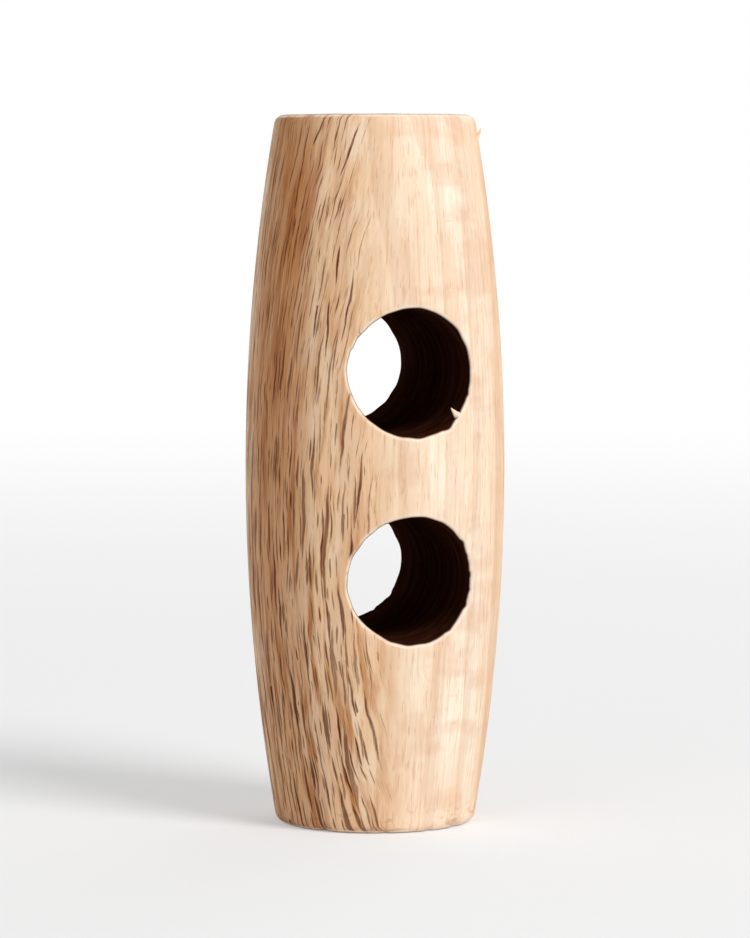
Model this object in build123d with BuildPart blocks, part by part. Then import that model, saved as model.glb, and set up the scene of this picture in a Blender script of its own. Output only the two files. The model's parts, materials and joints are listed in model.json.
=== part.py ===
from build123d import *
import os

# Wooden toggle button: a barrel turned from one piece of beech, with two cord holes drilled across it.
# It stands on one sawn end, with the turning axis on Z and the cord holes along Y.

# Driving dimensions, in millimetres
toggle_length = 30.0  # sawn end to sawn end
belly_diameter = 11.0  # widest turn, half way along
end_diameter = 8.4  # where the turned side would meet a sawn end
end_edge_bevel = 0.35  # sanded bevel round each sawn end
cord_hole_diameter = 5.3
cord_hole_spacing = 8.6  # between the two cord holes' axes

# Heights along the turning axis that follow from them
belly_height = toggle_length / 2
lower_hole_height = belly_height - cord_hole_spacing / 2
upper_hole_height = belly_height + cord_hole_spacing / 2

os.makedirs("parts", exist_ok=True)

with BuildPart() as toggle_body:
    # Half section of the blank, with its bulging side as one arc and both end corners bevelled
    with BuildSketch(Plane.XZ) as half_section:
        with BuildLine():
            turned_side = ThreePointArc(
                (end_diameter / 2, 0),
                (belly_diameter / 2, belly_height),
                (end_diameter / 2, toggle_length),
            )
            Polyline(turned_side @ 1, (0, toggle_length), (0, 0), turned_side @ 0)
        make_face()
        end_corners = half_section.vertices().group_by(Axis.X)[-1]
        chamfer(end_corners, end_edge_bevel)
    revolve(axis=Axis.Z)

    # Both cord holes go right through, square to the turning axis, so each mouth is a saddle-shaped rim
    with Locations(Plane.XZ):
        with Locations((0, lower_hole_height), (0, upper_hole_height)):
            Hole(cord_hole_diameter / 2)

toggle_body.part.label = "toggle_body"
export_step(toggle_body.part, "parts/toggle_body.step")
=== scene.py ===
"""Dresses the wooden toggle button: its turned beech, the fibres torn at its edges and a plain studio.

Lengths are in metres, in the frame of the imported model: the toggle stands on z = 0 with its turning axis on Z
and its cord holes along Y. The finishes work in millimetres.
"""

import json
import logging
import math
from dataclasses import dataclass
from enum import Enum

import bmesh
import bpy
import numpy as np
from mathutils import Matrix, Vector


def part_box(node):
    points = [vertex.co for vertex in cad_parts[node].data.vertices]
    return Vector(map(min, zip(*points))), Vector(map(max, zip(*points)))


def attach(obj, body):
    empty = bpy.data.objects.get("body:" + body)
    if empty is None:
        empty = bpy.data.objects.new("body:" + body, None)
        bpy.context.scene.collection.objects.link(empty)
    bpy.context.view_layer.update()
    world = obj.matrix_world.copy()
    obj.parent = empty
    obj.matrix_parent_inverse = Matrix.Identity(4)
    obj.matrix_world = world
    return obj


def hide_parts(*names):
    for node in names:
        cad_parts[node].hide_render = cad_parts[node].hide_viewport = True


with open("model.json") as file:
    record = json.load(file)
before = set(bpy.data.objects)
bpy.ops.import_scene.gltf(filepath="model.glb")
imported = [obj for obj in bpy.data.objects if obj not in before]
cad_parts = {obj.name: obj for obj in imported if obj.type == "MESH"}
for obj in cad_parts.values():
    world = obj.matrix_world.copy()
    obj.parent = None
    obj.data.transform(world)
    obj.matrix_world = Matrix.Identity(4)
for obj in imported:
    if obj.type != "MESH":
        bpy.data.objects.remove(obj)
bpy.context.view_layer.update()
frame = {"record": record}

LOG = logging.getLogger("toggle")
MM = 0.001
TOGGLE_NODE = "toggle_body"
BODY = "root"
HOLE_RUN = "hole_run_mm"
FULL_TURN = 2 * math.pi
QUARTER_TURN = math.pi / 2

# The screen's colour curve: its levels, its straight foot and its power above that
FULL_LEVEL = 255
FOOT_END = 0.04045
FOOT_SLOPE = 12.92
CURVE_SHIFT = 0.055
CURVE_POWER = 2.4

# Middle of a noise or a chance, which run from 0 to 1
MIDDLE_CHANCE = 0.5

# Sockets of the Mix node that hold its share and its colours
MIX_SHARE = 0
MIX_FIRST = 6
MIX_SECOND = 7
MIX_RESULT = 2

Colour = tuple[float, float, float, float]
Span = tuple[float, float]
Triple = tuple[float, float, float]
Socket = bpy.types.NodeSocket


def linear_share(level: int) -> float:
    """Turns one screen level into a share of linear light.

    Args:
        level: the level, 0 to 255.

    Returns:
        The share, from 0 to 1.
    """
    share = level / FULL_LEVEL
    if share <= FOOT_END:
        return share / FOOT_SLOPE
    return ((share + CURVE_SHIFT) / (1 + CURVE_SHIFT)) ** CURVE_POWER


def paint(red: int, green: int, blue: int) -> Colour:
    """Turns a screen colour, in levels, into the linear colour that shader sockets take."""
    return (linear_share(red), linear_share(green), linear_share(blue), 1.0)


def ease(values: np.ndarray, low: float, high: float) -> np.ndarray:
    """Rises smoothly from 0 at low to 1 at high.

    Args:
        values: numbers to read.
        low: where the rise starts.
        high: where the rise ends.

    Returns:
        The eased shares, from 0 to 1.
    """
    share = np.clip((values - low) / (high - low), 0.0, 1.0)
    return share * share * (3.0 - 2.0 * share)


def dent(turns: np.ndarray, middle: float, spread: float) -> np.ndarray:
    """Marks a short stretch of a circle, 1 in its middle and 0 outside it.

    Args:
        turns: angles to read.
        middle: the angle of the stretch's middle.
        spread: the angle from its middle to its end.

    Returns:
        The eased shares, from 0 to 1.
    """
    swing = np.abs((turns - middle + math.pi) % FULL_TURN - math.pi)
    return ease(-swing, -spread, 0.0)


def put_in_scene(name: str, mesh: bmesh.types.BMesh) -> bpy.types.Object:
    """Makes a modelled shape an object of the scene, at the origin.

    Args:
        name: the object's name.
        mesh: the shape, which is used up.

    Returns:
        The new object.
    """
    data = bpy.data.meshes.new(name)
    mesh.to_mesh(data)
    mesh.free()
    piece = bpy.data.objects.new(name, data)
    bpy.context.scene.collection.objects.link(piece)
    return piece


def triangles(piece: bpy.types.Object) -> int:
    """Counts a piece's triangles."""
    return sum(face.loop_total - 2 for face in piece.data.polygons)


class Mouth(Enum):
    """The two mouths of a cord hole, by the side of the barrel that they open on."""

    FRONT = -1
    BACK = 1


class End(Enum):
    """The two sawn ends, by their place along the length."""

    LOWER = 0
    UPPER = 1


@dataclass(frozen=True)
class GrainFrame:
    """How the wood's growth directions lie in the toggle.

    The fibres run along Z and lean a little more towards the top. Rays run from the pith outwards, square to
    the fibres.
    """

    ray_turn: float = math.radians(-70)
    wander: float = 2.2 * MM
    wander_wave: float = 100 * MM
    wander_start: float = -2.2

    def ray_direction(self) -> Vector:
        """Gives the direction of the rays, away from the pith."""
        return Vector((math.sin(self.ray_turn), -math.cos(self.ray_turn), 0.0))

    def ring_direction(self) -> Vector:
        """Gives the direction along the growth rings, square to the rays and the fibres."""
        return Vector((math.cos(self.ray_turn), math.sin(self.ray_turn), 0.0))

    def along_rings(self, place: Vector) -> float:
        """Gives how far along the rings a place lies, with the fibres' wander taken out."""
        turn = FULL_TURN * place.z / self.wander_wave + self.wander_start
        return place.dot(self.ring_direction()) - self.wander * math.sin(turn)


@dataclass(frozen=True)
class LongRay:
    """A long ray that stands out, placed by its turn round the side, from the front, and its height.

    Its lengths are in metres.
    """

    turn: float
    level: float
    half_height: float
    lean: float
    half_width: float = 0.065 * MM


@dataclass(frozen=True)
class Cloud:
    """A soft, uneven tone in the wood.

    It is stretched along the rings, the rays and the fibres, and its fineness is per millimetre. Its tone
    goes from the first value to the second while the noise goes over the span.
    """

    stretch: Triple
    fineness: float
    octaves: float
    span: Span = (0.0, 1.0)
    tone: Span = (0.0, 1.0)
    rough: float = 0.5


@dataclass(frozen=True)
class FleckLayer:
    """One size of ray or vessel, strewn in cells along the rings, the rays and the fibres."""

    cell: Triple
    shift: Triple
    half_width: Span
    half_height: Span
    tone: Span
    soft: float


@dataclass(frozen=True)
class LateWood:
    """The darker late part of each year's growth, which rises and falls over shares of the year."""

    rise: Span
    fall: Span
    strength: float


@dataclass(frozen=True)
class Masks:
    """Where the finish changes over the toggle, mostly as sockets that run from 0 to 1.

    The figure is what the flecks' width is multiplied by, and the strand is the place on the side, followed
    along the fibres.
    """

    end: Socket
    # Pale edges and rims: partly wear, partly a painted highlight.
    worn_and_highlit: Socket
    hole: Socket
    warm: Socket
    across_rays: Socket
    square_to_rays: Socket
    figure: Socket
    strand: Socket


class NodeSheet:
    """Lays shader nodes on a material or world and links them through plain calls."""

    def __init__(self, tree: bpy.types.NodeTree) -> None:
        """Takes a tree to work on and clears it."""
        self.tree = tree
        self.tree.nodes.clear()

    def node(self, kind: str, inputs: dict | None = None, **settings: object) -> bpy.types.Node:
        """Adds one node.

        Args:
            kind: the node's type name.
            inputs: sockets or plain values by input name or number.
            settings: properties of the node itself.

        Returns:
            The new node.
        """
        node = self.tree.nodes.new(kind)
        for name, value in settings.items():
            setattr(node, name, value)
        for name, value in (inputs or {}).items():
            if isinstance(value, bpy.types.NodeSocket):
                self.tree.links.new(value, node.inputs[name])
            else:
                node.inputs[name].default_value = value
        return node

    def math(self, operation: str, *values: object) -> Socket:
        """Works on numbers, with the operation's name as the node spells it."""
        return self.node("ShaderNodeMath", dict(enumerate(values)), operation=operation).outputs[0]

    def product(self, first: object, *others: object) -> Socket:
        """Multiplies two or more numbers.

        Args:
            first: a socket or a plain number.
            others: what it is multiplied by.

        Returns:
            The product.
        """
        for other in others:
            first = self.math("MULTIPLY", first, other)
        return first

    def vector_math(self, operation: str, *values: object) -> bpy.types.Node:
        """Works on vectors, and gives the node because some operations answer with a number."""
        return self.node("ShaderNodeVectorMath", dict(enumerate(values)), operation=operation)

    def dot(self, vector: Socket, direction: Vector) -> Socket:
        """Measures a place along a fixed direction."""
        return self.vector_math("DOT_PRODUCT", vector, tuple(direction)).outputs["Value"]

    def join(self, x: object, y: object, z: object) -> Socket:
        """Joins three numbers to one vector."""
        return self.node("ShaderNodeCombineXYZ", {0: x, 1: y, 2: z}).outputs[0]

    def split(self, vector: Socket) -> list[Socket]:
        """Splits a vector into its three numbers."""
        return list(self.node("ShaderNodeSeparateXYZ", {0: vector}).outputs)

    def stretch(self, vector: Socket, scales: Triple) -> Socket:
        """Scales each axis of a vector by itself."""
        return self.vector_math("MULTIPLY", vector, scales).outputs["Vector"]

    def noise(self, place: Socket, cloud: Cloud) -> Socket:
        """Gives a cloud's bare noise, from 0 to 1.

        Args:
            place: where it is read, in millimetres.
            cloud: how it is stretched and how fine it is.

        Returns:
            The noise.
        """
        inputs = {
            "Vector": self.stretch(place, cloud.stretch),
            "Scale": cloud.fineness,
            "Detail": cloud.octaves,
            "Roughness": cloud.rough,
        }
        return self.node("ShaderNodeTexNoise", inputs).outputs[0]

    def ramp(self, value: object, low: float, high: float, start: float = 0.0, end: float = 1.0) -> Socket:
        """Goes smoothly from start at low to end at high."""
        inputs = {"Value": value, "From Min": low, "From Max": high, "To Min": start, "To Max": end}
        return self.node("ShaderNodeMapRange", inputs, interpolation_type="SMOOTHSTEP").outputs[0]

    def cloud(self, place: Socket, cloud: Cloud) -> Socket:
        """Gives a cloud's tone."""
        return self.ramp(self.noise(place, cloud), *cloud.span, *cloud.tone)

    def blend(self, share: object, first: object, second: object, way: str = "MIX") -> Socket:
        """Mixes two colours, all second at a share of 1."""
        inputs = {MIX_SHARE: share, MIX_FIRST: first, MIX_SECOND: second}
        return self.node("ShaderNodeMix", inputs, data_type="RGBA", blend_type=way).outputs[MIX_RESULT]

    def shade(self, share: object, first: object, second: object) -> Socket:
        """Multiplies the first colour by the second, in part."""
        return self.blend(share, first, second, "MULTIPLY")

    def attribute(self, name: str) -> Socket:
        """Reads one of the mesh's own numbers."""
        return self.node("ShaderNodeAttribute", attribute_name=name).outputs["Fac"]

    def place_in_mm(self) -> Socket:
        """Reads the place on the piece, in millimetres."""
        place = self.node("ShaderNodeTexCoord").outputs["Object"]
        return self.stretch(place, (1 / MM, 1 / MM, 1 / MM))

    def show(self, shader: bpy.types.Node) -> None:
        """Ends the sheet in a shader, as the material's surface."""
        self.node("ShaderNodeOutputMaterial", {"Surface": shader.outputs[0]})


def new_material(name: str) -> tuple[bpy.types.Material, NodeSheet]:
    """Makes an empty material.

    Args:
        name: its name.

    Returns:
        The material and the sheet that its nodes go on.
    """
    material = bpy.data.materials.new(name)
    material.use_nodes = True
    return material, NodeSheet(material.node_tree)


@dataclass(frozen=True)
class BeechFinish:
    """Bare sanded beech: cream and pinkish tan, with dark ray flecks, pale end rays and holes browned by the
    drill and darkened further by painted shade.

    Its lengths are in millimetres, apart from those of its long rays.
    """

    # Colours of the turned side, the sawn ends and the holes
    cream: Colour = paint(253, 242, 222)
    rosy_tan: Colour = paint(248, 222, 195)
    warm_tan: Colour = paint(241, 202, 161)
    # The deep tan is partly the flecked face's own colour and partly painted shade on the left flank, which is
    # turned from the key lamp.
    deep_tan_and_shade: Colour = paint(193, 129, 72)
    ring_brown: Colour = paint(214, 164, 124)
    ribbon_pink: Colour = paint(226, 176, 142)
    band_brown: Colour = paint(203, 164, 125)
    fleck_stain: Colour = paint(112, 64, 30)
    bruise_brown: Colour = paint(150, 96, 56)
    end_tan: Colour = paint(205, 166, 137)
    end_ray: Colour = paint(243, 214, 188)
    end_ring: Colour = paint(172, 128, 98)
    # The hole walls' brown is darker than the drilled wood itself: painted shade inside the holes.
    hole_brown_and_shade: Colour = paint(58, 26, 15)
    hole_stain: Colour = paint(120, 70, 40)
    # Pale edge colour: partly wear, partly a painted highlight along the rounded ends and the hole rims.
    worn_and_highlit_edge: Colour = paint(252, 234, 213)

    # Gloss and relief
    polish: Cloud = Cloud((1.0, 1.0, 0.3), 0.7, 2.0, (0.3, 0.7), (0.5, 0.66))
    side_specular: float = 0.1
    hole_specular: float = 0.0
    bump_height: float = 0.03
    bump_strength: float = 0.7
    fibre_relief: float = -0.5
    pore_relief: float = -0.8
    fleck_relief: float = -0.8

    # Ground of the turned side
    rosy_patches: Cloud = Cloud((1.0, 1.0, 0.22), 0.55, 3.0, (0.34, 0.66))
    warm_patches: Cloud = Cloud((1.0, 0.5, 0.3), 1.5, 3.0, (0.3, 0.66), (0.6, 1.0))
    deep_patches: Cloud = Cloud((1.0, 0.5, 0.2), 0.9, 3.0, (0.32, 0.66), (0.6, 0.95))
    pink_ribbons: Cloud = Cloud((1.0, 0.28, 0.8), 1.0, 2.0, (0.48, 0.68), (0.0, 0.36))
    brown_bands: Cloud = Cloud((1.0, 0.3, 0.09), 2.8, 3.0, (0.46, 0.68), (0.0, 0.6))
    bruises: Cloud = Cloud((1.0, 1.0, 2.0), 1.6, 4.0, (0.54, 0.68), (0.0, 0.4))
    bruise_heights: Span = (0.4, 1.3)
    ring_spacing: float = 1.7
    ring_bend: Cloud = Cloud((1.0, 1.0, 0.1), 0.3, 2.0, (0.0, 1.0), (0.0, 1.6))
    side_late: LateWood = LateWood((0.35, 0.93), (0.94, 1.0), 0.3)

    # Fibres and pores of the turned side
    fibres: Cloud = Cloud((1.0, 1.0, 0.045), 7.0, 3.0, (0.42, 0.7), (0.0, 0.26), 0.62)
    pores: Cloud = Cloud((1.0, 1.0, 0.1), 13.0, 1.0, (0.6, 0.72), (0.0, 0.36))
    vessels: FleckLayer = FleckLayer(
        (0.42, 0.42, 7.0), (2.4, 5.1, 0.8), (0.016, 0.032), (1.4, 3.2), (0.2, 0.55), 0.02
    )

    # Ray flecks of the turned side
    flecks: tuple[FleckLayer, ...] = (
        FleckLayer((0.5, 6.0, 5.2), (3.1, 0.4, 1.7), (0.03, 0.09), (1.0, 2.5), (0.72, 1.0), 0.056),
        FleckLayer((0.32, 5.0, 3.5), (0.6, 7.4, 5.2), (0.024, 0.066), (0.6, 1.65), (0.68, 1.0), 0.044),
        FleckLayer((0.2, 4.0, 2.1), (9.3, 2.2, 0.3), (0.016, 0.044), (0.3, 1.0), (0.62, 1.0), 0.032),
    )
    long_rays: tuple[LongRay, ...] = (
        LongRay(math.radians(-51), 29.2 * MM, 0.7 * MM, 0.2),
        LongRay(math.radians(-32), 28.5 * MM, 1.3 * MM, 0.1),
        LongRay(math.radians(-36), 23.8 * MM, 1.0 * MM, -0.05),
        LongRay(math.radians(-40), 21.2 * MM, 1.5 * MM, -0.12),
        LongRay(math.radians(-25), 14.6 * MM, 1.7 * MM, 0.04),
        LongRay(math.radians(-42), 12.0 * MM, 1.7 * MM, 0.0),
        LongRay(math.radians(-52), 8.0 * MM, 1.5 * MM, 0.0),
        LongRay(math.radians(-36), 4.4 * MM, 1.4 * MM, 0.0),
    )
    long_ray_soft: float = 0.04
    long_ray_near_side: Span = (0.0, 1.0)
    ragged: Cloud = Cloud((1.0, 0.3, 0.25), 9.0, 2.0)
    raggedness: float = 1.2
    lean_spread: float = 0.1
    ripples: Cloud = Cloud((0.5, 0.2, 0.42), 1.0, 2.0, (0.0, 1.0), (-0.12, 0.12))
    fleck_streaks: tuple[float, ...] = (0.3, 0.6, 0.75, 1.0)

    # Sawn ends
    pith_distance: float = 38.0
    end_bend: Cloud = Cloud((1.0, 1.0, 0.0), 0.25, 2.0, (0.0, 1.0), (0.0, 1.6))
    end_late: LateWood = LateWood((0.1, 0.9), (0.88, 1.0), 0.42)
    end_specks: Cloud = Cloud((1.0, 0.7, 0.0), 11.0, 2.0, (0.46, 0.68), (0.0, 0.4))
    end_clouds: Cloud = Cloud((1.0, 1.0, 0.0), 0.5, 3.0, (0.4, 0.7), (0.0, 0.3))
    end_rays: tuple[FleckLayer, ...] = (
        FleckLayer((1.3, 1.0, 14.0), (0.3, 0.0, 0.2), (0.03, 0.07), (5.0, 7.0), (0.4, 0.75), 0.05),
        FleckLayer((0.36, 1.0, 4.0), (4.3, 0.0, 1.2), (0.02, 0.04), (1.0, 1.9), (0.25, 0.6), 0.03),
    )

    # Hole walls
    drill_rings: Cloud = Cloud((0.1, 1.0, 0.1), 3.0, 2.0, (0.35, 0.65), (0.0, 0.5))
    hole_fibres: Cloud = Cloud((0.6, 0.6, 0.06), 3.0, 2.0, (0.3, 0.75), (0.0, 0.025))

    # Where one surface gives way to the next, as shares of the rounded edge or rim
    end_shares: Span = (0.05, 0.2)
    # The pale edge and rim bands, and the wear cloud that breaks them up, are partly wear and partly a painted
    # highlight.
    worn_and_highlit_end_shares: Span = (0.26, 0.5)
    hole_shares: Span = (0.04, 0.5)
    worn_and_highlit_rim_shares: Span = (0.8, 1.3)
    worn_and_highlit_rim: float = 0.8
    wear: Cloud = Cloud((1.0, 1.0, 1.0), 1.6, 3.0, (0.3, 0.62), (0.2, 0.85))

    # How squarely the side has to face the rays, from 0 to 1, for its warm tan, its flecks and its deep tan,
    # which is partly painted shade
    warm_facing: Span = (0.2, 0.85)
    across_facing: Span = (0.5, 0.94)
    square_facing: Span = (0.89, 1.0)

    # What changes along the length, at the foot and at the top
    ray_turn_shift: Span = (0.13, 0.02)
    figure_strength: Span = (1.42, 0.9)
    # The deep tan's painted shade grows towards the top.
    deep_shade_strength: Span = (0.65, 1.1)
    band_strength: Span = (1.75, 0.95)

    def materials(self, toggle: "ToggleBody") -> list[bpy.types.Material]:
        """Makes the finish for a toggle of a given size and grain.

        Args:
            toggle: the toggle that wears it.

        Returns:
            The sanded wood for the outside and the duller wood for the hole walls.
        """
        outside = self._material("sanded_beech", toggle, self.side_specular)
        return [outside, self._material("drilled_beech", toggle, self.hole_specular)]

    def _material(self, name: str, toggle: "ToggleBody", specular: float) -> bpy.types.Material:
        """Makes one material of the finish.

        Args:
            name: its name.
            toggle: the toggle that wears it.
            specular: how strongly it shines.

        Returns:
            The new material.
        """
        material, sheet = new_material(name)
        place = sheet.place_in_mm()
        lean = self._fibre_lean(sheet, place, toggle.grain)
        grain = self._grain_place(sheet, place, lean, toggle.grain)
        masks = self._masks(sheet, place, lean, toggle)
        side, relief = self._turned_side(sheet, grain, masks, toggle)
        # Pale rounded edges and rims: partly wear, partly painted highlight.
        colour = sheet.blend(masks.worn_and_highlit, side, self.worn_and_highlit_edge)
        colour = sheet.blend(masks.end, colour, self._sawn_end(sheet, grain))
        colour = sheet.blend(masks.hole, colour, self._hole_wall(sheet, grain, place))
        bump_inputs = {"Strength": self.bump_strength, "Distance": self.bump_height * MM, "Height": relief}
        bump = sheet.node("ShaderNodeBump", bump_inputs).outputs[0]
        shader_inputs = {
            "Base Color": colour,
            "Roughness": sheet.cloud(grain, self.polish),
            "Normal": bump,
            "Specular IOR Level": specular,
        }
        sheet.show(sheet.node("ShaderNodeBsdfPrincipled", shader_inputs))
        return material

    def _fibre_lean(self, sheet: NodeSheet, place: Socket, grain: GrainFrame) -> Socket:
        """Works out how far the fibres have wandered along the rings at a place.

        Args:
            sheet: where the nodes go.
            place: the place in the toggle.
            grain: the wood's directions.

        Returns:
            The distance.
        """
        height = sheet.split(place)[2]
        turn = sheet.math("MULTIPLY_ADD", height, FULL_TURN * MM / grain.wander_wave, grain.wander_start)
        wander = sheet.product(sheet.math("SINE", turn), grain.wander / MM)
        return sheet.math("ADD", wander, sheet.cloud(place, self.ripples))

    def _grain_place(self, sheet: NodeSheet, place: Socket, lean: Socket, grain: GrainFrame) -> Socket:
        """Turns a place in the toggle into distances along the rings, the rays and the fibres.

        Args:
            sheet: where the nodes go.
            place: the place in the toggle.
            lean: how far the fibres have wandered there.
            grain: the wood's directions.

        Returns:
            The place in the wood.
        """
        along_rings = sheet.math("SUBTRACT", sheet.dot(place, grain.ring_direction()), lean)
        return sheet.join(along_rings, sheet.dot(place, grain.ray_direction()), sheet.split(place)[2])

    def _masks(self, sheet: NodeSheet, place: Socket, lean: Socket, toggle: "ToggleBody") -> Masks:
        """Marks the sawn ends, the pale edges, which are partly wear and partly painted highlight, the hole
        walls and how squarely a side cuts the rays.

        Args:
            sheet: where the nodes go.
            place: the place in the toggle.
            lean: how far the fibres have wandered there.
            toggle: the toggle, for its sizes.

        Returns:
            The masks.
        """
        height = sheet.split(place)[2]
        length = toggle.length / MM
        from_middle = sheet.math("ABSOLUTE", sheet.math("SUBTRACT", height, length / 2))
        from_end = sheet.math("SUBTRACT", length / 2, from_middle)
        edge_run = sheet.product(from_end, MM / toggle.edge_round)
        from_hole = sheet.math("SUBTRACT", sheet.attribute(HOLE_RUN), toggle.hole_radius / MM)
        rim_run = sheet.product(from_hole, MM / toggle.rim_round)
        # Pale bands along the rounded ends and the rims: partly wear, partly painted highlight.
        worn_and_highlit_end = sheet.ramp(edge_run, *self.worn_and_highlit_end_shares, 1.0, 0.0)
        worn_and_highlit_rim = sheet.ramp(rim_run, *self.worn_and_highlit_rim_shares, self.worn_and_highlit_rim, 0.0)
        outward = sheet.vector_math("NORMALIZE", sheet.stretch(place, (1.0, 1.0, 0.0))).outputs["Vector"]
        near = sheet.dot(outward, toggle.grain.ray_direction())
        shifted = sheet.math("ADD", near, sheet.ramp(height, 0.0, length, *self.ray_turn_shift))
        facing = sheet.math("MAXIMUM", shifted, sheet.product(near, -1.0))
        radius = toggle.belly_radius / MM
        swing = sheet.product(lean, near, near, -1 / radius)
        turn_inputs = {"Vector": sheet.stretch(outward, (radius, radius, 0.0)), "Angle": swing}
        turned = sheet.node("ShaderNodeVectorRotate", turn_inputs, rotation_type="Z_AXIS").outputs[0]
        return Masks(
            end=sheet.ramp(edge_run, *self.end_shares, 1.0, 0.0),
            worn_and_highlit=sheet.product(sheet.math("MAXIMUM", worn_and_highlit_end, worn_and_highlit_rim), sheet.cloud(place, self.wear)),
            hole=sheet.ramp(rim_run, *self.hole_shares, 1.0, 0.0),
            warm=sheet.ramp(facing, *self.warm_facing),
            across_rays=sheet.ramp(facing, *self.across_facing),
            square_to_rays=sheet.ramp(sheet.math("ABSOLUTE", near), *self.square_facing),
            figure=sheet.ramp(height, 0.0, length, *self.figure_strength),
            strand=sheet.vector_math("ADD", turned, sheet.join(0.0, 0.0, height)).outputs["Vector"],
        )

    def _turned_side(
        self, sheet: NodeSheet, grain: Socket, masks: Masks, toggle: "ToggleBody"
    ) -> tuple[Socket, Socket]:
        """Paints the turned side: its ground, fibres, pores and ray flecks.

        Args:
            sheet: where the nodes go.
            grain: the place in the wood.
            masks: where the finish changes.
            toggle: the toggle, for its sizes and grain.

        Returns:
            The colour and the height for the bump.
        """
        ground = self._ground(sheet, grain, masks, toggle)
        fibre = sheet.noise(masks.strand, self.fibres)
        ground = sheet.shade(sheet.ramp(fibre, *self.fibres.span, *self.fibres.tone), ground, self.ring_brown)
        pores = sheet.cloud(masks.strand, self.pores)
        ground = sheet.shade(pores, ground, self.ribbon_pink)
        ground = sheet.blend(self._strewn(sheet, grain, self.vessels), ground, self.warm_tan)
        dark = self._flecks(sheet, grain, masks, toggle)
        dark = sheet.product(dark, sheet.ramp(fibre, *self.fleck_streaks))
        colour = sheet.shade(dark, ground, self.fleck_stain)
        relief = sheet.math("MULTIPLY_ADD", fibre, self.fibre_relief, sheet.product(pores, self.pore_relief))
        return colour, sheet.math("MULTIPLY_ADD", dark, self.fleck_relief, relief)

    def _ground(self, sheet: NodeSheet, grain: Socket, masks: Masks, toggle: "ToggleBody") -> Socket:
        """Paints the wood between the flecks: its patches, its growth rings, the bruises at its foot and a deep
        tan that is partly painted shade on the flank turned from the key lamp.

        Args:
            sheet: where the nodes go.
            grain: the place in the wood.
            masks: where the finish changes.
            toggle: the toggle, for its length.

        Returns:
            The colour.
        """
        length = toggle.length / MM
        along_rays, height = sheet.split(grain)[1:]
        ground = sheet.blend(sheet.cloud(grain, self.rosy_patches), self.cream, self.rosy_tan)
        along = sheet.math("SUBTRACT", 1.0, masks.across_rays)
        ribbons = sheet.product(sheet.cloud(grain, self.pink_ribbons), along)
        ground = sheet.blend(ribbons, ground, self.ribbon_pink)
        warm = sheet.product(sheet.cloud(grain, self.warm_patches), masks.warm)
        ground = sheet.blend(warm, ground, self.warm_tan)
        # Deep tan: partly the wood's own, partly painted shade on the flank turned from the key lamp, heavier
        # towards the top.
        shade_deepness = sheet.ramp(height, 0.0, length, *self.deep_shade_strength)
        deep = sheet.product(sheet.cloud(grain, self.deep_patches), masks.square_to_rays, shade_deepness)
        ground = sheet.blend(deep, ground, self.deep_tan_and_shade)
        heaviness = sheet.ramp(height, 0.0, length, *self.band_strength)
        bands = sheet.product(sheet.cloud(grain, self.brown_bands), masks.across_rays, heaviness)
        ground = sheet.shade(bands, ground, self.band_brown)
        radius = sheet.math("ADD", along_rays, sheet.cloud(grain, self.ring_bend))
        ground = sheet.blend(self._late_wood(sheet, radius, self.side_late), ground, self.ring_brown)
        foot = sheet.ramp(height, *self.bruise_heights, 1.0, 0.0)
        bruise = sheet.product(sheet.cloud(grain, self.bruises), foot)
        return sheet.blend(bruise, ground, self.bruise_brown)

    def _late_wood(self, sheet: NodeSheet, radius: Socket, late: LateWood) -> Socket:
        """Darkens towards the end of each year's growth.

        Args:
            sheet: where the nodes go.
            radius: the distance from the pith.
            late: how the year darkens.

        Returns:
            How dark the place is.
        """
        year = sheet.math("FRACT", sheet.math("DIVIDE", radius, self.ring_spacing))
        rise = sheet.ramp(year, *late.rise, 0.0, late.strength)
        return sheet.product(rise, sheet.ramp(year, *late.fall, 1.0, 0.0))

    def _flecks(self, sheet: NodeSheet, grain: Socket, masks: Masks, toggle: "ToggleBody") -> Socket:
        """Draws the rays where the side cuts across them: three strewn sizes and a few long ones.

        Args:
            sheet: where the nodes go.
            grain: the place in the wood.
            masks: where the finish changes.
            toggle: the toggle, for its sizes and grain.

        Returns:
            How dark the place is.
        """
        room = sheet.product(masks.across_rays, masks.figure)
        dark = 0.0
        for layer in self.flecks:
            dark = sheet.math("MAXIMUM", dark, self._strewn(sheet, grain, layer, room))
        for ray in self.long_rays:
            dark = sheet.math("MAXIMUM", dark, self._long_ray(sheet, grain, ray, toggle))
        return dark

    def _strewn(self, sheet: NodeSheet, grain: Socket, layer: FleckLayer, room: object = 1.0) -> Socket:
        """Strews one layer of thin, tapered flecks through the wood.

        Args:
            sheet: where the nodes go.
            grain: the place in the wood.
            layer: the flecks' sizes and how dark they are.
            room: what their width is multiplied by.

        Returns:
            How dark the place is, from 0 outside every fleck.
        """
        scaled = sheet.stretch(grain, tuple(1 / size for size in layer.cell))
        scaled = sheet.vector_math("ADD", scaled, layer.shift).outputs["Vector"]
        cells = sheet.node("ShaderNodeTexVoronoi", {"Vector": scaled, "Scale": 1.0})
        offset = sheet.vector_math("SUBTRACT", scaled, cells.outputs["Position"]).outputs["Vector"]
        across, _, up = sheet.split(sheet.stretch(offset, layer.cell))
        chances = sheet.node("ShaderNodeSeparateColor", {0: cells.outputs["Color"]}).outputs
        spans = (layer.half_width, layer.half_height, layer.tone)
        width, height, tone = (
            sheet.math("MULTIPLY_ADD", chance, high - low, low) for chance, (low, high) in zip(chances, spans)
        )
        lean = sheet.product(sheet.math("SUBTRACT", chances[2], MIDDLE_CHANCE), self.lean_spread)
        across = sheet.math("MULTIPLY_ADD", up, lean, across)
        fleck = self._spindle(sheet, grain, (across, up), (sheet.product(width, room), height), layer.soft)
        return sheet.product(fleck, tone)

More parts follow.
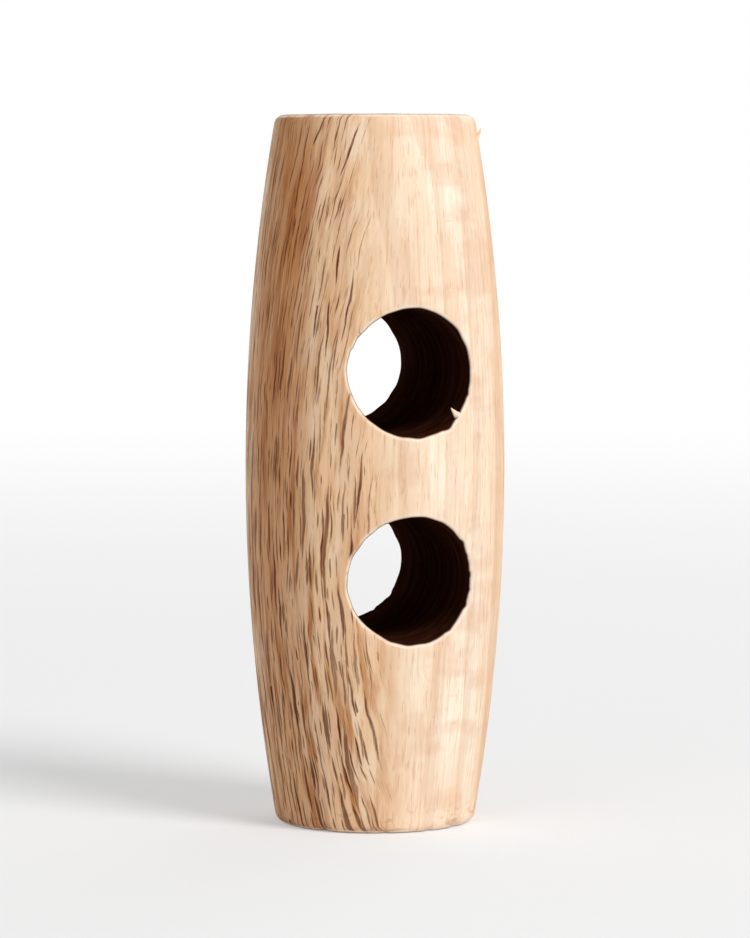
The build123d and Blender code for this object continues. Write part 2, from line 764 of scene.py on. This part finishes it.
    def _long_ray(self, sheet: NodeSheet, grain: Socket, ray: LongRay, toggle: "ToggleBody") -> Socket:
        """Draws one long ray on the side of the toggle that it is placed on.

        Args:
            sheet: where the nodes go.
            grain: the place in the wood.
            ray: the ray.
            toggle: the toggle, for its sizes and grain.

        Returns:
            How dark the place is.
        """
        along_rings, along_rays, height = sheet.split(grain)
        radius = toggle.side_radius(ray.level)
        spot = Vector((math.sin(ray.turn) * radius, -math.cos(ray.turn) * radius, ray.level))
        up = sheet.math("SUBTRACT", height, ray.level / MM)
        across = sheet.math("SUBTRACT", along_rings, toggle.grain.along_rings(spot) / MM)
        across = sheet.math("MULTIPLY_ADD", up, -ray.lean, across)
        sizes = (ray.half_width / MM, ray.half_height / MM)
        fleck = self._spindle(sheet, grain, (across, up), sizes, self.long_ray_soft)
        return sheet.product(fleck, sheet.ramp(along_rays, *self.long_ray_near_side))

    def _spindle(self, sheet: NodeSheet, grain: Socket, offset: tuple, sizes: tuple, soft: float) -> Socket:
        """Draws a thin fleck that tapers to both its ends and has a ragged edge.

        Args:
            sheet: where the nodes go.
            grain: the place in the wood.
            offset: how far the place lies across and along the fleck from its middle.
            sizes: the fleck's half width and half height.
            soft: how far inside its edge it is fully dark.

        Returns:
            How far inside the fleck the place is, from 0 to 1.
        """
        across, up = offset
        width, height = sizes
        rise = sheet.math("DIVIDE", up, height)
        taper = sheet.math("MULTIPLY_ADD", sheet.product(rise, rise), -1.0, 1.0)
        inside = sheet.math("SUBTRACT", sheet.product(taper, width), sheet.math("ABSOLUTE", across))
        ragged = sheet.math("SUBTRACT", sheet.noise(grain, self.ragged), MIDDLE_CHANCE)
        inside = sheet.math("MULTIPLY_ADD", ragged, self.raggedness * soft, inside)
        return sheet.ramp(inside, 0.0, soft)

    def _sawn_end(self, sheet: NodeSheet, grain: Socket) -> Socket:
        """Paints the end grain: browner ground, growth rings across and pale rays along the radius.

        Args:
            sheet: where the nodes go.
            grain: the place in the wood.

        Returns:
            The colour.
        """
        along_rings, along_rays, _ = sheet.split(grain)
        from_pith = sheet.math("ADD", along_rays, self.pith_distance)
        turn = sheet.math("DIVIDE", along_rings, from_pith)
        bow = sheet.math("DIVIDE", sheet.product(turn, along_rings), 2.0)
        radius = sheet.math("ADD", sheet.math("ADD", along_rays, bow), sheet.cloud(grain, self.end_bend))
        ground = sheet.blend(self._late_wood(sheet, radius, self.end_late), self.end_tan, self.end_ring)
        for cloud in (self.end_specks, self.end_clouds):
            ground = sheet.shade(sheet.cloud(grain, cloud), ground, self.end_ring)
        fan = sheet.join(sheet.product(turn, self.pith_distance), 0.0, along_rays)
        lines = 0.0
        for layer in self.end_rays:
            lines = sheet.math("MAXIMUM", lines, self._strewn(sheet, fan, layer))
        return sheet.blend(lines, ground, self.end_ray)

    def _hole_wall(self, sheet: NodeSheet, grain: Socket, place: Socket) -> Socket:
        """Paints the drilled walls: browned by the drill, with fine rings round the hole, and darker than
        drilled beech is, as painted shade inside the holes.

        Args:
            sheet: where the nodes go.
            grain: the place in the wood.
            place: the place in the toggle.

        Returns:
            The colour.
        """
        ground = sheet.blend(sheet.cloud(grain, self.hole_fibres), self.hole_brown_and_shade, self.ring_brown)
        return sheet.shade(sheet.cloud(place, self.drill_rings), ground, self.hole_stain)


@dataclass(frozen=True)
class RimChip:
    """A place where the drill broke fibres out of a rim, with its turn as seen from outside that mouth."""

    hole: int
    mouth: Mouth
    turn: float
    spread: float
    depth: float


@dataclass(frozen=True)
class EdgeNick:
    """A place where the saw broke fibres out of an edge, with its turn round the side, from the front."""

    end: End
    turn: float
    spread: float
    depth: float


@dataclass
class ToggleBody:
    """The barrel of the toggle: a turned side, two sawn ends and the cord holes across it."""

    length: float
    belly_radius: float
    hole_radius: float
    hole_heights: tuple[float, ...]
    grain: GrainFrame
    end_radius: float = 4.2 * MM
    edge_round: float = 0.34 * MM
    rim_round: float = 0.16 * MM

    # How finely the mesh is divided
    turns: int = 288
    side_rows: int = 216
    end_rows: int = 18
    edge_rows: int = 6
    mouth_rings: int = 9
    mouth_margin: float = 0.45 * MM
    rim_rows: int = 4
    wall_rows: int = 36
    wall_share: float = 0.1
    merge_distance: float = 0.001 * MM

    # Lines of the saw on the ends
    saw_seed: int = 7
    saw_heading: float = math.radians(24)
    saw_bow: float = 70 * MM
    saw_lines: int = 40
    saw_reach_share: float = 1.2
    saw_depth: float = 0.018 * MM
    saw_share: float = 0.02

    # Broken fibres at the edges of the ends
    nick_reach: float = 0.55 * MM
    nick_full_share: float = 0.5
    nick_drop_share: float = 0.6
    nicks: tuple[EdgeNick, ...] = (
        EdgeNick(End.LOWER, math.radians(-50), math.radians(6), 0.05 * MM),
        EdgeNick(End.LOWER, math.radians(-12), math.radians(5), 0.04 * MM),
        EdgeNick(End.LOWER, math.radians(16), math.radians(4), 0.06 * MM),
        EdgeNick(End.LOWER, math.radians(38), math.radians(6), 0.05 * MM),
        EdgeNick(End.LOWER, math.radians(128), math.radians(5), 0.05 * MM),
        EdgeNick(End.LOWER, math.radians(-148), math.radians(4), 0.05 * MM),
        EdgeNick(End.UPPER, math.radians(-72), math.radians(7), 0.06 * MM),
        EdgeNick(End.UPPER, math.radians(44), math.radians(4), 0.05 * MM),
        EdgeNick(End.UPPER, math.radians(160), math.radians(5), 0.05 * MM),
    )

    # Broken fibres at the rims of the holes
    chip_reach: float = 0.6 * MM
    chip_full_out_share: float = 0.25
    chip_full_in_share: float = 0.5
    rim_seed: int = 100
    rim_waviness: float = 0.022 * MM
    rim_waves: tuple[int, ...] = (5, 8, 11, 14, 17, 20, 23)
    chips: tuple[RimChip, ...] = (
        RimChip(0, Mouth.FRONT, math.radians(3), math.radians(4), 0.07 * MM),
        RimChip(0, Mouth.FRONT, math.radians(21), math.radians(3), 0.04 * MM),
        RimChip(0, Mouth.FRONT, math.radians(34), math.radians(5), 0.06 * MM),
        RimChip(0, Mouth.FRONT, math.radians(-11), math.radians(3), 0.05 * MM),
        RimChip(0, Mouth.FRONT, math.radians(-25), math.radians(5), 0.08 * MM),
        RimChip(0, Mouth.FRONT, math.radians(-52), math.radians(6), 0.05 * MM),
        RimChip(1, Mouth.FRONT, math.radians(-20), math.radians(4), 0.06 * MM),
        RimChip(1, Mouth.FRONT, math.radians(-56), math.radians(9), 0.1 * MM),
        RimChip(1, Mouth.FRONT, math.radians(160), math.radians(5), 0.05 * MM),
        RimChip(1, Mouth.BACK, math.radians(70), math.radians(6), 0.07 * MM),
        RimChip(0, Mouth.BACK, math.radians(216), math.radians(6), 0.07 * MM),
        RimChip(0, Mouth.BACK, math.radians(236), math.radians(4), 0.05 * MM),
    )

    def side_radius(self, height: float | np.ndarray) -> float | np.ndarray:
        """Gives the barrel's radius, on the arc from end to belly to end.

        Args:
            height: the height above the lower end, or many of them.

        Returns:
            The radius at each height.
        """
        bulge = self.belly_radius - self.end_radius
        half = self.length / 2
        arc = (half * half + bulge * bulge) / (2 * bulge)
        return self.belly_radius - arc + np.sqrt(arc * arc - (height - half) ** 2)

    def surface_depth(self, across: float | np.ndarray, height: float | np.ndarray) -> float | np.ndarray:
        """Gives how far the turned side lies from the plane of the axis, along a hole."""
        return np.sqrt(np.maximum(self.side_radius(height) ** 2 - across**2, 0.0))

    def build(self) -> bpy.types.Object:
        """Models the toggle and puts it in the scene.

        Returns:
            The finished piece, still without its finish.
        """
        mesh = bmesh.new()
        self._turn_blank(mesh)
        for height in self.hole_heights:
            inner = [edge for mouth in Mouth for edge in self._open_mouth(mesh, mouth, height)]
            self._line_hole(mesh, inner)
        bmesh.ops.recalc_face_normals(mesh, faces=mesh.faces[:])
        wall_reach = self.hole_radius + self.wall_share * self.rim_round
        for face in mesh.faces:
            face.material_index = int(self._from_hole(face.calc_center_median()) < wall_reach)
        piece = put_in_scene("toggle", mesh)
        piece.data.shade_smooth()
        self._work_surface(piece.data)
        return piece

    def _from_hole(self, place: Vector) -> float:
        """Gives the distance from a place to the nearest hole's axis."""
        return min(math.hypot(place.x, place.z - height) for height in self.hole_heights)

    def _turn_blank(self, mesh: bmesh.types.BMesh) -> None:
        """Draws the half section, from one end's centre to the other's, and spins it into the blank.

        Args:
            mesh: where the blank is made.
        """
        flat = self.side_radius(0.0) - self.edge_round
        outline = [(flat * row / self.end_rows, 0.0) for row in range(self.end_rows)]
        for row in range(self.edge_rows):
            turn = QUARTER_TURN * row / self.edge_rows
            height = self.edge_round * (1 - math.cos(turn))
            lean = self.side_radius(height) - self.side_radius(0.0)
            outline.append((flat + self.edge_round * math.sin(turn) + lean, height))
        run = self.length - 2 * self.edge_round
        heights = [self.edge_round + run * row / self.side_rows for row in range(self.side_rows + 1)]
        lower = outline + [(self.side_radius(height), height) for height in heights]
        upper = [(radius, self.length - height) for radius, height in reversed(outline)]
        verts = [mesh.verts.new((radius, 0.0, height)) for radius, height in lower + upper]
        edges = [mesh.edges.new(pair) for pair in zip(verts, verts[1:])]
        bmesh.ops.spin(
            mesh, geom=verts + edges, cent=(0, 0, 0), axis=(0, 0, 1),
            angle=FULL_TURN, steps=self.turns, use_merge=True,
        )
        bmesh.ops.remove_doubles(mesh, verts=mesh.verts[:], dist=self.merge_distance)

    def _open_mouth(
        self, mesh: bmesh.types.BMesh, mouth: Mouth, hole_height: float
    ) -> list[bmesh.types.BMEdge]:
        """Cuts a window in the side and draws its edge in to a round, softened rim.

        Args:
            mesh: the blank.
            mouth: the side that opens.
            hole_height: the height of the hole's axis.

        Returns:
            The edges of the loop where the hole's wall starts.
        """
        side = mouth.value
        rim = self.hole_radius + self.rim_round
        reach = rim + self.mouth_margin
        loop = self._cut_window(mesh, side, hole_height, reach)
        for ring in range(self.mouth_rings):
            loop, verts = self._extrude(mesh, loop)
            for vert in verts:
                away = Vector((vert.co.x, 0.0, vert.co.z - hole_height))
                distance = away.length
                away.length = distance + (rim - distance) / (self.mouth_rings - ring)
                height = hole_height + away.z
                vert.co = (away.x, side * self.surface_depth(away.x, height), height)
        for row in range(1, self.rim_rows + 1):
            turn = QUARTER_TURN * row / self.rim_rows
            radius = self.hole_radius + self.rim_round * (1 - math.sin(turn))
            sink = self.rim_round * (1 - math.cos(turn))
            loop, verts = self._extrude(mesh, loop)
            for vert in verts:
                away = Vector((vert.co.x, 0.0, vert.co.z - hole_height)).normalized()
                lip = self.surface_depth(away.x * rim, hole_height + away.z * rim)
                vert.co = (away.x * radius, side * (lip - sink), hole_height + away.z * radius)
        return loop

    def _cut_window(
        self, mesh: bmesh.types.BMesh, side: int, hole_height: float, reach: float
    ) -> list[bmesh.types.BMEdge]:
        """Takes out the faces where a mouth opens.

        Args:
            mesh: the blank.
            side: the sign of the side that opens, along Y.
            hole_height: the height of the hole's axis.
            reach: half the window's height, and half its width on the belly.

        Returns:
            The edges round the window.
        """
        swing = math.asin(reach / self.belly_radius)
        window = []
        for face in mesh.faces:
            centre = face.calc_center_median()
            turn = math.atan2(centre.x, centre.y * side)
            if abs(turn) < swing and abs(centre.z - hole_height) < reach:
                window.append(face)
        bmesh.ops.delete(mesh, geom=window, context="FACES")
        room = reach + self.mouth_margin
        loop = []
        for edge in mesh.edges:
            middle = (edge.verts[0].co + edge.verts[1].co) / 2
            beside = middle.y * side > 0 and abs(middle.x) < room and abs(middle.z - hole_height) < room
            if edge.is_boundary and beside:
                loop.append(edge)
        return loop

    def _extrude(self, mesh: bmesh.types.BMesh, loop: list) -> tuple[list, list]:
        """Draws a new ring of faces from an open loop.

        Args:
            mesh: the blank.
            loop: the edges of the loop.

        Returns:
            The edges and the corners of the new open loop.
        """
        made = bmesh.ops.extrude_edge_only(mesh, edges=loop)["geom"]
        verts = [item for item in made if isinstance(item, bmesh.types.BMVert)]
        edges = [item for item in made if isinstance(item, bmesh.types.BMEdge)]
        fresh = set(verts)
        return [edge for edge in edges if fresh.issuperset(edge.verts)], verts

    def _line_hole(self, mesh: bmesh.types.BMesh, inner: list) -> None:
        """Joins a hole's two inner loops with its wall and cuts that wall into rows."""
        bridge = bmesh.ops.bridge_loops(mesh, edges=inner)
        bmesh.ops.subdivide_edgering(mesh, edges=bridge["edges"], cuts=self.wall_rows, interp_mode="LINEAR")

    def _work_surface(self, data: bpy.types.Mesh) -> None:
        """Cuts the saw's lines, the nicked edges and the chipped rims into the mesh.

        Args:
            data: the toggle's mesh, which also gets the distance from the holes that its finish reads.
        """
        points = np.empty(len(data.vertices) * 3)
        data.vertices.foreach_get("co", points)
        points = points.reshape(-1, 3)
        heights = np.array(self.hole_heights)
        hole_run = np.hypot(points[:, :1], points[:, 2:] - heights).min(axis=1) / MM
        values = data.attributes.new(HOLE_RUN, "FLOAT", "POINT").data
        values.foreach_set("value", hole_run.astype(np.float32))
        self._mark_saw_lines(points)
        for end in End:
            self._nick_edge(points, end)
        for hole in range(len(self.hole_heights)):
            for mouth in Mouth:
                self._chip_rim(points, hole, mouth)
        data.vertices.foreach_set("co", points.ravel())
        data.update()

    def _mark_saw_lines(self, points: np.ndarray) -> None:
        """Sinks the shallow lines that the saw leaves into both ends.

        Args:
            points: the mesh's corners, which move.
        """
        draw = np.random.default_rng(self.saw_seed)
        along = points[:, 0] * math.cos(self.saw_heading) + points[:, 1] * math.sin(self.saw_heading)
        across = points[:, 1] * math.cos(self.saw_heading) - points[:, 0] * math.sin(self.saw_heading)
        along = along + across**2 / self.saw_bow
        reach = self.saw_reach_share * self.end_radius
        knots = np.linspace(-reach, reach, self.saw_lines)
        depth = np.interp(along, knots, draw.uniform(0.0, self.saw_depth, self.saw_lines))
        flat = self.saw_share * self.edge_round
        points[:, 2] += depth * (points[:, 2] < flat)
        points[:, 2] -= depth * (points[:, 2] > self.length - flat)

    def _nick_edge(self, points: np.ndarray, end: End) -> None:
        """Draws one end's edge in where fibres broke away.

        Args:
            points: the mesh's corners, which move.
            end: which of the ends.
        """
        radius = np.hypot(points[:, 0], points[:, 1])
        turn = np.arctan2(points[:, 0], -points[:, 1])
        from_end = np.abs(points[:, 2] - end.value * self.length)
        full = self.end_radius - self.nick_full_share * self.edge_round
        share = ease(radius, self.end_radius - self.nick_reach, full)
        share = share * (1.0 - ease(from_end, 0.0, self.nick_reach))
        notch = np.zeros(len(points))
        for nick in self.nicks:
            if nick.end is end:
                notch += nick.depth * dent(turn, nick.turn, nick.spread)
        moved = share * notch > 0
        depth = share[moved] * notch[moved]
        points[moved, :2] *= (1.0 - depth / radius[moved])[:, None]
        points[moved, 2] += self.nick_drop_share * depth * (1 - 2 * end.value)

    def _chip_rim(self, points: np.ndarray, hole: int, mouth: Mouth) -> None:
        """Draws one rim outwards where fibres broke away, and leaves it a little wavy.

        Args:
            points: the mesh's corners, which move.
            hole: the hole's number, from the lowest.
            mouth: which of its mouths.
        """
        draw = np.random.default_rng(self.rim_seed + 2 * hole + mouth.value)
        across = points[:, 0]
        up = points[:, 2] - self.hole_heights[hole]
        distance = np.hypot(across, up)
        below = self.surface_depth(across, points[:, 2]) - np.abs(points[:, 1])
        open_side = (points[:, 1] * mouth.value > 0) & (distance < self.hole_radius + self.chip_reach)
        full_out = self.chip_full_out_share * self.rim_round
        full_in = self.chip_full_in_share * self.rim_round
        share = 1.0 - ease(distance - self.hole_radius, full_out, self.chip_reach)
        share = share * (1.0 - ease(below, full_in, self.chip_reach)) * open_side
        turn = np.arctan2(up, across * -mouth.value)
        notch = np.zeros(len(points))
        for waves in self.rim_waves:
            start = draw.uniform(0, FULL_TURN)
            notch += np.sin(waves * turn + start) * self.rim_waviness / math.sqrt(waves)
        for chip in self.chips:
            if chip.hole == hole and chip.mouth is mouth:
                notch += chip.depth * dent(turn, chip.turn, chip.spread)
        moved = share > 0
        grow = 1.0 + notch[moved] * share[moved] / distance[moved]
        points[moved, 0] *= grow
        points[moved, 2] = self.hole_heights[hole] + up[moved] * grow
        fresh = self.surface_depth(points[moved, 0], points[moved, 2])
        points[moved, 1] = mouth.value * (fresh - below[moved])

    def dress(self, piece: bpy.types.Object, finish: BeechFinish) -> None:
        """Gives the toggle its finish and its place in the frame.

        Args:
            piece: the piece from build.
            finish: the beech finish.
        """
        for material in finish.materials(self):
            piece.data.materials.append(material)
        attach(piece, BODY)
        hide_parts(TOGGLE_NODE)


@dataclass(frozen=True)
class Sliver:
    """One torn sliver of wood: its root in the body, its bend, its tip, its face and its widths."""

    root: Vector
    bend: Vector
    tip: Vector
    face: Vector
    width: float
    tip_width: float


@dataclass(frozen=True)
class TornFinish:
    """Fresh, pale wood where fibres were torn."""

    pale: Colour = paint(250, 228, 200)
    tan: Colour = paint(240, 204, 168)
    tones: Cloud = Cloud((1.0, 1.0, 1.0), 4.0, 2.0, (0.35, 0.7))
    roughness: float = 0.6
    specular: float = 0.1

    def material(self) -> bpy.types.Material:
        """Makes the finish.

        Returns:
            The new material.
        """
        material, sheet = new_material("torn_beech")
        tone = sheet.cloud(sheet.place_in_mm(), self.tones)
        colour = sheet.blend(tone, self.pale, self.tan)
        inputs = {"Base Color": colour, "Roughness": self.roughness, "Specular IOR Level": self.specular}
        sheet.show(sheet.node("ShaderNodeBsdfPrincipled", inputs))
        return material


@dataclass
class TornFibres:
    """Slivers left standing: a burr of the saw at the top edge and a flake of the drill at the upper rim."""

    toggle: ToggleBody
    sides: int = 8
    rows: int = 10
    flatness: float = 0.5

    # Burr: its turn round the side, its widths, and how far beyond the edge and below the top its points lie
    burr_turn: float = math.radians(62)
    burr_width: float = 0.34 * MM
    burr_tip_width: float = 0.04 * MM
    burr_root: Span = (-0.08 * MM, 1.3 * MM)
    burr_bend: Span = (0.16 * MM, 1.0 * MM)
    burr_tip: Span = (0.34 * MM, 0.56 * MM)

    # Flake: its hole, mouth and turn on the rim, its sizes, how deep it lies, and shares of its length
    flake_hole: int = 1
    flake_mouth: Mouth = Mouth.FRONT
    flake_turn: float = math.radians(-42)
    flake_length: float = 0.3 * MM
    flake_width: float = 0.4 * MM
    flake_tip_width: float = 0.05 * MM
    flake_depth: float = 0.18 * MM
    root_depth: float = 0.12 * MM
    flake_bend_shares: Span = (0.4, 0.1)
    flake_tip_shares: Span = (0.25, 0.3)

    def _burr(self) -> Sliver:
        """Places the burr on the top edge.

        Returns:
            Its line and widths.
        """
        top = self.toggle.length
        edge = self.toggle.side_radius(top)
        out = Vector((math.sin(self.burr_turn), -math.cos(self.burr_turn), 0.0))
        aside = Vector((math.cos(self.burr_turn), math.sin(self.burr_turn), 0.0))
        points = [
            out * (edge + beyond) + Vector((0.0, 0.0, top - down))
            for beyond, down in (self.burr_root, self.burr_bend, self.burr_tip)
        ]
        return Sliver(*points, aside, self.burr_width, self.burr_tip_width)

    def _flake(self) -> Sliver:
        """Places the flake, which leans from the rim into the hole.

        Returns:
            Its line and widths.
        """
        side = self.flake_mouth.value
        height = self.toggle.hole_heights[self.flake_hole]
        radius = self.toggle.hole_radius
        length = self.flake_length
        away = Vector((math.cos(self.flake_turn) * -side, 0.0, math.sin(self.flake_turn)))
        depth = self.toggle.surface_depth(away.x * radius, height + away.z * radius) - self.flake_depth
        lip = Vector((0.0, side * depth, height))
        inward = Vector((0.0, -side, 0.0))
        bend_share, bulge_share = self.flake_bend_shares
        dip_share, lift_share = self.flake_tip_shares
        root = lip + away * (radius + self.root_depth)
        bend = lip + away * (radius - bend_share * length) - inward * bulge_share * length
        tip = lip + away * (radius - length) + inward * dip_share * length
        tip = tip + Vector((0.0, 0.0, lift_share * length))
        return Sliver(root, bend, tip, inward, self.flake_width, self.flake_tip_width)

    def build(self) -> bpy.types.Object:
        """Models all slivers as one piece.

        Returns:
            The finished piece, still without its finish.
        """
        mesh = bmesh.new()
        for sliver in (self._burr(), self._flake()):
            self._add(mesh, sliver)
        piece = put_in_scene("torn_fibres", mesh)
        piece.data.shade_smooth()
        return piece

    def _add(self, mesh: bmesh.types.BMesh, sliver: Sliver) -> None:
        """Models one sliver: a flattened cone, bent along its line and closed at both ends.

        Args:
            mesh: where it is added.
            sliver: its line and widths.
        """
        length = 1.0
        cone = bmesh.ops.create_cone(
            mesh, cap_ends=True, segments=self.sides,
            radius1=sliver.width / 2, radius2=sliver.tip_width / 2, depth=length,
        )["verts"]
        corners = set(cone)
        edges = [edge for edge in mesh.edges if corners.issuperset(edge.verts)]
        spine = [edge for edge in edges if edge.verts[0].co.z * edge.verts[1].co.z < 0]
        cut = bmesh.ops.subdivide_edgering(mesh, edges=spine, cuts=self.rows, interp_mode="LINEAR")
        for vert in corners | {vert for face in cut["faces"] for vert in face.verts}:
            share = vert.co.z + length / 2
            before = sliver.root.lerp(sliver.bend, share)
            beyond = sliver.bend.lerp(sliver.tip, share)
            middle = before.lerp(beyond, share)
            along = (beyond - before).normalized()
            wide = along.cross(sliver.face).normalized()
            thick = along.cross(wide)
            vert.co = middle + wide * vert.co.x + thick * vert.co.y * self.flatness

    def dress(self, piece: bpy.types.Object, finish: TornFinish) -> None:
        """Gives the slivers their pale wood and their place in the frame.

        Args:
            piece: the piece from build.
            finish: the torn wood's finish.
        """
        piece.data.materials.append(finish.material())
        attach(piece, BODY)


@dataclass(frozen=True)
class Lamp:
    """One soft studio lamp, aimed at the middle of the toggle."""

    name: str
    place: Triple
    size: float
    watts: float


@dataclass
class Studio:
    """A pale floor, soft lamps and the camera."""

    aim: Vector
    azimuth: float = math.radians(-18)
    elevation: float = math.radians(4)
    distance: float = 0.175
    lens: float = 158.0
    clip_start: float = 0.01
    white: Colour = (1.0, 1.0, 1.0, 1.0)
    floor_reach: float = 2.0
    floor_white: Colour = (0.9, 0.9, 0.9, 1.0)
    floor_fade: Span = (0.03, 0.3)
    floor_glow: float = 0.35
    ambient: float = 0.4
    lamps: tuple[Lamp, ...] = (
        Lamp("key_lamp", (0.4, -0.75, 0.75), 0.5, 8.4),
        Lamp("fill_lamp", (-0.75, -0.65, 0.5), 0.7, 0.6),
        Lamp("back_lamp", (0.7, 0.75, 0.5), 0.8, 2.0),
    )

    def build(self) -> None:
        """Sets up the floor, the light and the camera."""
        self._lay_floor()
        self._light_room()
        for lamp in self.lamps:
            self._hang(lamp)
        self._set_camera()
        bpy.context.scene.view_settings.view_transform = "Standard"

    def _lay_floor(self) -> None:
        """Lays the pale floor that the toggle stands on, which fades to white further off."""
        mesh = bmesh.new()
        bmesh.ops.create_grid(mesh, x_segments=1, y_segments=1, size=self.floor_reach)
        floor = put_in_scene("floor", mesh)
        material, sheet = new_material("pale_floor")
        near = sheet.node("ShaderNodeBsdfDiffuse", {"Color": self.floor_white})
        far = sheet.node("ShaderNodeEmission", {"Color": self.white, "Strength": 1.0})
        place = sheet.node("ShaderNodeTexCoord").outputs["Object"]
        distance = sheet.vector_math("LENGTH", place).outputs["Value"]
        seen = sheet.node("ShaderNodeLightPath").outputs["Is Camera Ray"]
        share = sheet.product(sheet.ramp(distance, *self.floor_fade, self.floor_glow, 1.0), seen)
        sheet.show(sheet.node("ShaderNodeMixShader", {0: share, 1: near.outputs[0], 2: far.outputs[0]}))
        floor.data.materials.append(material)

    def _light_room(self) -> None:
        """Fills the room with even light, and shows it white to the camera and in reflections."""
        world = bpy.data.worlds.new("studio")
        world.use_nodes = True
        bpy.context.scene.world = world
        sheet = NodeSheet(world.node_tree)
        path = sheet.node("ShaderNodeLightPath").outputs
        seen = sheet.math("MAXIMUM", path["Is Camera Ray"], path["Is Glossy Ray"])
        seen = sheet.math("MAXIMUM", seen, path["Is Transmission Ray"])
        strength = sheet.math("MULTIPLY_ADD", seen, 1.0 - self.ambient, self.ambient)
        light = sheet.node("ShaderNodeBackground", {"Color": self.white, "Strength": strength})
        sheet.node("ShaderNodeOutputWorld", {"Surface": light.outputs[0]})

    def _hang(self, lamp: Lamp) -> None:
        """Hangs one lamp and turns it to the toggle.

        Args:
            lamp: the lamp.
        """
        light = bpy.data.lights.new(lamp.name, "AREA")
        light.shape = "DISK"
        light.size = lamp.size
        light.energy = lamp.watts
        hung = bpy.data.objects.new(lamp.name, light)
        hung.location = lamp.place
        hung.rotation_euler = (self.aim - Vector(lamp.place)).to_track_quat("-Z", "Y").to_euler()
        bpy.context.scene.collection.objects.link(hung)

    def _set_camera(self) -> None:
        """Points the camera at the toggle from the photograph's side."""
        lens = bpy.data.cameras.new("camera")
        lens.lens = self.lens
        lens.clip_start = self.clip_start
        camera = bpy.data.objects.new("camera", lens)
        level = math.cos(self.elevation)
        aside = math.sin(self.azimuth) * level
        ahead = -math.cos(self.azimuth) * level
        back = Vector((aside, ahead, math.sin(self.elevation)))
        camera.location = self.aim + back * self.distance
        camera.rotation_euler = (-back).to_track_quat("-Z", "Y").to_euler()
        bpy.context.scene.collection.objects.link(camera)
        bpy.context.scene.camera = camera


def main() -> None:
    """Builds the toggle and the studio, and reports each piece."""
    logging.basicConfig(level=logging.INFO, format="%(message)s")
    low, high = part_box(TOGGLE_NODE)
    mounts = frame["record"]["mounts"]
    holes = sorted((m for m in mounts if m["kind"] == "bore"), key=lambda m: m["pos_m"][2])
    toggle = ToggleBody(
        length=high.z - low.z,
        belly_radius=(high.x - low.x) / 2,
        hole_radius=holes[0]["dims"]["r_mm"] * MM,
        hole_heights=tuple(hole["pos_m"][2] for hole in holes),
        grain=GrainFrame(),
    )
    body = toggle.build()
    toggle.dress(body, BeechFinish())
    LOG.info("toggle: %d triangles", triangles(body))
    torn = TornFibres(toggle)
    fibres = torn.build()
    torn.dress(fibres, TornFinish())
    LOG.info("torn fibres: %d triangles", triangles(fibres))
    Studio(aim=Vector((0.0, 0.0, toggle.length / 2))).build()
    LOG.info("studio: floor, lamps and camera")


if __name__ == "__main__":
    main()
